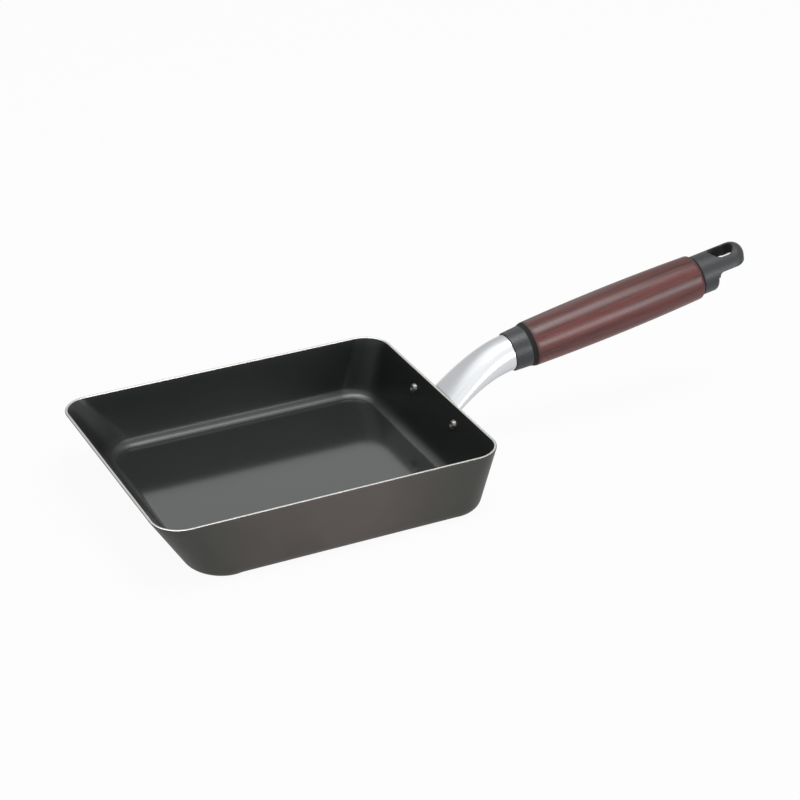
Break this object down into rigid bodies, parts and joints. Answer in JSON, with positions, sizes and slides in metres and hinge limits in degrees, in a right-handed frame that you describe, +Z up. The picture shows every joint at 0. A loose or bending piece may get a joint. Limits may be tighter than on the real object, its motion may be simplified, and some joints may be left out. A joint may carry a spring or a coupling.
{
  "type": "rolled omelette pan",
  "caption": "Rectangular coated aluminium pan for rolled omelettes, with a sloped front wall, a riveted cast bracket and a turned wooden handle with a hanging slot in its end cap.",
  "frame": {"origin": "on the flat underside of the pan, under the centre of the rim", "axes": "+X along the handle, away from the pan; +Z up, square to the rim; +Y to the left when looking along the handle from the pan"},
  "size_m": [0.3732, 0.1512, 0.0837],
  "materials": {
    "coated_aluminium": "black non-stick coat inside, dark grey heat-resistant coat outside, bare metal on the rim",
    "polished_aluminium": "buffed die casting",
    "rivet_aluminium": "satin, set cold",
    "black_phenolic": "moulded, satin",
    "lacquered_wood": "stained red-brown, clear lacquer",
    "zinc_plated_steel": "bright zinc plate"
  },
  "bodies": {
    "root": {"pan_body": "coated_aluminium", "handle_bracket": "polished_aluminium", "rivet_left": "rivet_aluminium", "rivet_right": "rivet_aluminium", "ferrule": "black_phenolic", "wooden_grip": "lacquered_wood", "end_cap": "black_phenolic", "tie_screw": "zinc_plated_steel", "flat_washer": "zinc_plated_steel", "spring_washer": "zinc_plated_steel"}
  },
  "joints": []
}
